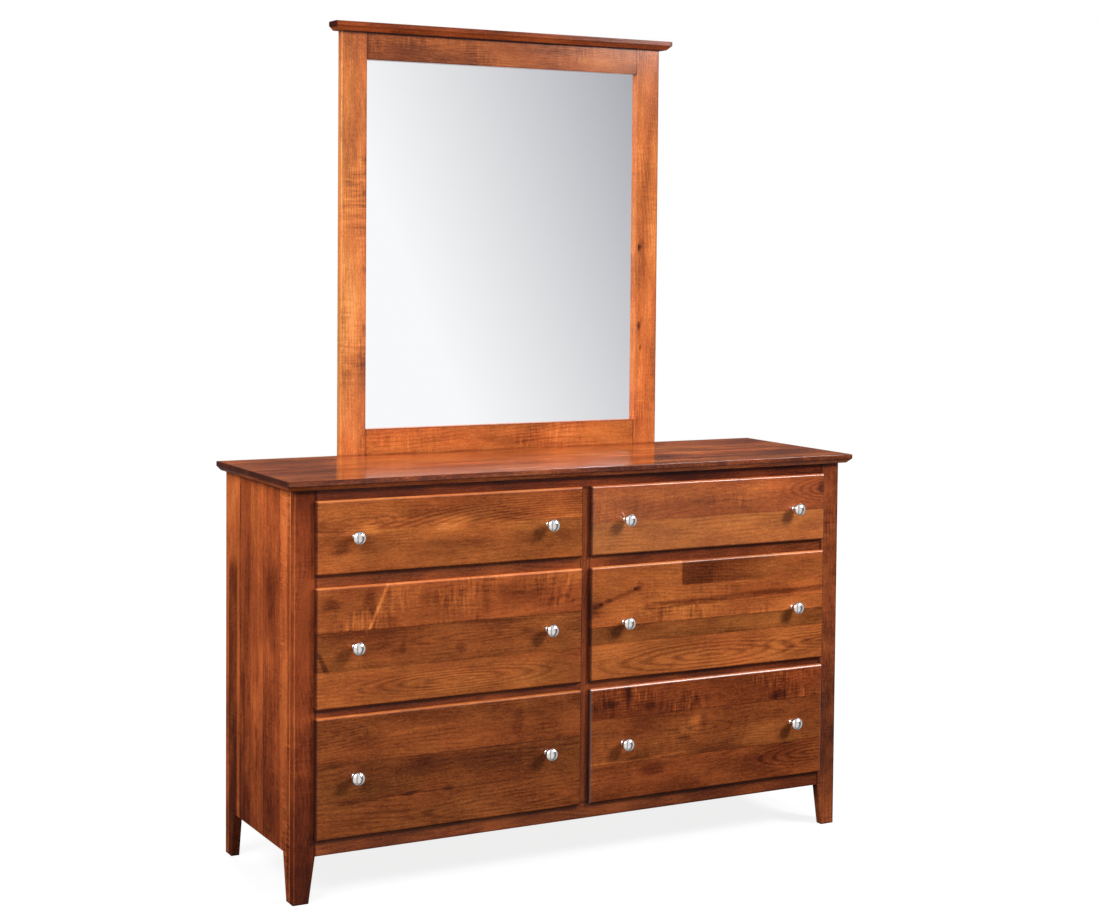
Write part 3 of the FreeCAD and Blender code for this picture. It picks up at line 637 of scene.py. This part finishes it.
stood = wiring.node("GeometryNodeInstanceOnPoints", {}, {"Points": places, "Instance": cut, "Rotation": facing})
chance = wiring.node("FunctionNodeRandomValue", {"data_type": "FLOAT"}, {2: 0.0, 3: math.tau, "Seed": seed}, 1)
spun = wiring.node("GeometryNodeRotateInstances", {}, {
    "Instances": stood, "Rotation": wiring.node("ShaderNodeCombineXYZ", {}, {2: chance}), "Local Space": True})
close_tree(wiring, spun, zinc)

SCREW = {"Head radius": 0.0042, "Head height": 0.0011, "Slot width": 0.0011, "Slot length": 0.0046,
         "Slot depth": 0.0008}
SMALL_SCREW = {"Head radius": 0.0031, "Head height": 0.0009, "Slot width": 0.0008, "Slot length": 0.0034,
               "Slot depth": 0.0007}
TO_BACK = (-math.pi / 2, 0.0, 0.0)
TO_LEFT = (0.0, -math.pi / 2, 0.0)
TO_RIGHT = (0.0, math.pi / 2, 0.0)
SUPPORT_HALF_WIDTH = 0.0225
SUPPORT_LEVELS = (0.845, 0.905, 0.985, 1.567)
BACK_COLUMNS = (-0.58, -0.3, 0.0, 0.3, 0.58)
BACK_LEVELS = (0.2, 0.36, 0.52, 0.68, 0.84)
BACK_MARGIN = 0.011
BOX_END_THICKNESS = 0.0125
SLIDE_LEVEL = 0.045
SLIDE_STEEL = 0.0015
SLIDE_SPOTS = (-0.16, -0.02, 0.12)


def screws(name, spots, kind, facing, body, seed):
    """Screw heads at the given spots, turned by chance, riding on a body."""
    mesh = bpy.data.meshes.new(name)
    mesh.from_pydata([tuple(spot) for spot in spots], [], [])
    heads = set_out(name, screw_heads, mesh, {**kind, "Facing": facing, "Seed": seed})
    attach(heads, body)


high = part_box("mirror_supports")[1]
support_middle = high.x - SUPPORT_HALF_WIDTH
screws("support_screws", [(x, high.y, z) for x in (-support_middle, support_middle) for z in SUPPORT_LEVELS],
       SCREW, TO_BACK, "case", 1)
low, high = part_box("back_panel")
rows = [(x, z) for x in BACK_COLUMNS for z in (low.z + BACK_MARGIN * 2, high.z - BACK_MARGIN)]
rows += [(x, z) for x in (low.x + BACK_MARGIN * 0.4, high.x - BACK_MARGIN * 0.4) for z in BACK_LEVELS]
screws("back_panel_screws", [(x, high.y, z) for x, z in rows], SMALL_SCREW, TO_BACK, "case", 2)
for number, drawer in enumerate(DRAWERS):
    low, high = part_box(f"{drawer}_drawer_box")
    inside = low.y + BOX_END_THICKNESS
    screws(f"{drawer}_knob_screws", [(spot.x, inside, spot.z) for spot in knob_places[drawer]],
           SCREW, TO_BACK, f"{drawer}_drawer", 10 + number)
    for side, x, facing in (("left", low.x - SLIDE_STEEL, TO_LEFT), ("right", high.x + SLIDE_STEEL, TO_RIGHT)):
        screws(f"{drawer}_{side}_slide_screws", [(x, y, low.z + SLIDE_LEVEL) for y in SLIDE_SPOTS],
               SMALL_SCREW, facing, f"{drawer}_drawer", 30 + number * 2 + (side == "right"))

# Room for the picture: a plain floor that shows white, surroundings that fade from white to grey
# towards the right, where they show in the mirror, and dusk behind, where they show in the top.
FLOOR_HALF = 6.0
WHITE = (1, 1, 1, 1)
floor_mesh = bpy.data.meshes.new("floor")
floor_mesh.from_pydata([(-FLOOR_HALF, -FLOOR_HALF, 0), (FLOOR_HALF, -FLOOR_HALF, 0),
                        (FLOOR_HALF, FLOOR_HALF, 0), (-FLOOR_HALF, FLOOR_HALF, 0)], [], [(0, 1, 2, 3)])
floor = bpy.data.objects.new("floor", floor_mesh)
bpy.context.scene.collection.objects.link(floor)
floor_paper, paper = finish("floor_paper")
x, y, z = paper.apart(paper.spot())
away = distance(x, y).rise(0.9, 2.4)
to_camera = paper.ray("Camera")
matt = paper.node("ShaderNodeBsdfDiffuse", {}, {
    "Color": paper.mixed(to_camera, (0.14, 0.14, 0.14, 1), (0.9, 0.9, 0.9, 1))})
white = paper.node("ShaderNodeEmission", {}, {"Color": WHITE, "Strength": 1.06})
shown = paper.node("ShaderNodeMixShader", {}, {0: to_camera * (away * 0.2 + 0.8), 1: matt, 2: white})
shader = paper.node("ShaderNodeMixShader", {}, {
    0: paper.ray("Glossy"), 1: shown, 2: paper.node("ShaderNodeBsdfTransparent")})
paper.node("ShaderNodeOutputMaterial", {}, {"Surface": shader})
floor_mesh.materials.append(floor_paper)

AMBIENT = 0.14
DUSK = 0.08
GREYEST, WHITEST = 0.14, 0.97
SCREEN_GREY = 0.75
world = bpy.data.worlds.new("studio")
world.use_nodes = True
bpy.context.scene.world = world
studio = Wiring(world.node_tree)
x, y, z = studio.apart(studio.spot("Generated"))
ahead = (0 - y).math("MAXIMUM", 0.05)
turn = x / ahead
upward = (z / ahead).within(-0.12, 0.15)
wall = (0.79 - (turn - 0.505) * 2.8 - upward * 1.2).within(GREYEST, WHITEST)
screen = turn.rise(1.6, 2.0)
gap = (turn + 0.26).math("ABSOLUTE").fall(0.08, 0.18)
wall = (wall + (SCREEN_GREY - wall) * screen) * (1 - gap * 0.7)
behind = y.rise(-0.1, 0.25)
room = (wall * (1 - behind) + behind * DUSK) * (1 - (0 - z).rise(0.5, 0.9) * 0.5)
to_camera = studio.ray("Camera")
mirrored = studio.ray("Glossy").math("MAXIMUM", studio.ray("Transmission"))
strength = to_camera + (1 - to_camera) * (AMBIENT + mirrored * (room - AMBIENT))
tint = studio.mixed(wall.rise(0.2, 0.9), (0.94, 0.94, 1.04, 1), WHITE)
studio.node("ShaderNodeOutputWorld", {}, {"Surface": studio.node("ShaderNodeBackground", {}, {
    "Color": studio.mixed(to_camera, tint, WHITE), "Strength": strength})})


def lamp(name, place, target, size, power, shows=True):
    """A soft box on a stand, turned towards the dresser, that shows in the lacquer or not."""
    light = bpy.data.lights.new(name, "AREA")
    light.shape = "SQUARE"
    light.size = size
    light.energy = power
    stand = bpy.data.objects.new(name, light)
    stand.location = place
    stand.rotation_euler = (Vector(target) - Vector(place)).to_track_quat("-Z", "Y").to_euler()
    stand.visible_camera = False
    stand.visible_glossy = shows
    bpy.context.scene.collection.objects.link(stand)


lamp("key_softbox", (2.6, -2.8, 3.0), (0.0, -0.2, 0.8), size=1.2, power=198)
lamp("side_softbox", (-2.4, -1.1, 2.3), (-0.5, 0.0, 0.8), size=1.6, power=88)
lamp("back_softbox", (0.4, 4.0, 4.0), (0.0, 0.2, 0.9), size=2.0, power=150, shows=False)

# Camera: where the picture was taken from, to the left of the front and at standing height, with the
# lens shifted down so that the upright edges stay nearly upright.
EYE_ACROSS, EYE_FROM_FRONT, EYE_HEIGHT = -2.318, 4.154, 1.469
camera = bpy.data.cameras.new("camera")
camera.sensor_width = 36
camera.lens = 65.71
camera.shift_x = -0.001
camera.shift_y = -0.1086
yaw, dip, roll = math.radians(28.13), math.radians(2.59), math.radians(0.5)
forward = Vector((math.sin(yaw) * math.cos(dip), math.cos(yaw) * math.cos(dip), -math.sin(dip)))
right = Vector((math.cos(yaw), -math.sin(yaw), 0))
up = right.cross(forward)
rolled_right = right * math.cos(roll) + up * math.sin(roll)
rolled_up = up * math.cos(roll) - right * math.sin(roll)
eye = bpy.data.objects.new("camera", camera)
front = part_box("left_front_stile")[0].y
eye.matrix_world = Matrix.Translation((EYE_ACROSS, front - EYE_FROM_FRONT, EYE_HEIGHT)) @ Matrix(
    (rolled_right, rolled_up, -forward)).transposed().to_4x4()
bpy.context.scene.collection.objects.link(eye)
bpy.context.scene.camera = eye
bpy.context.scene.view_settings.view_transform = "Standard"
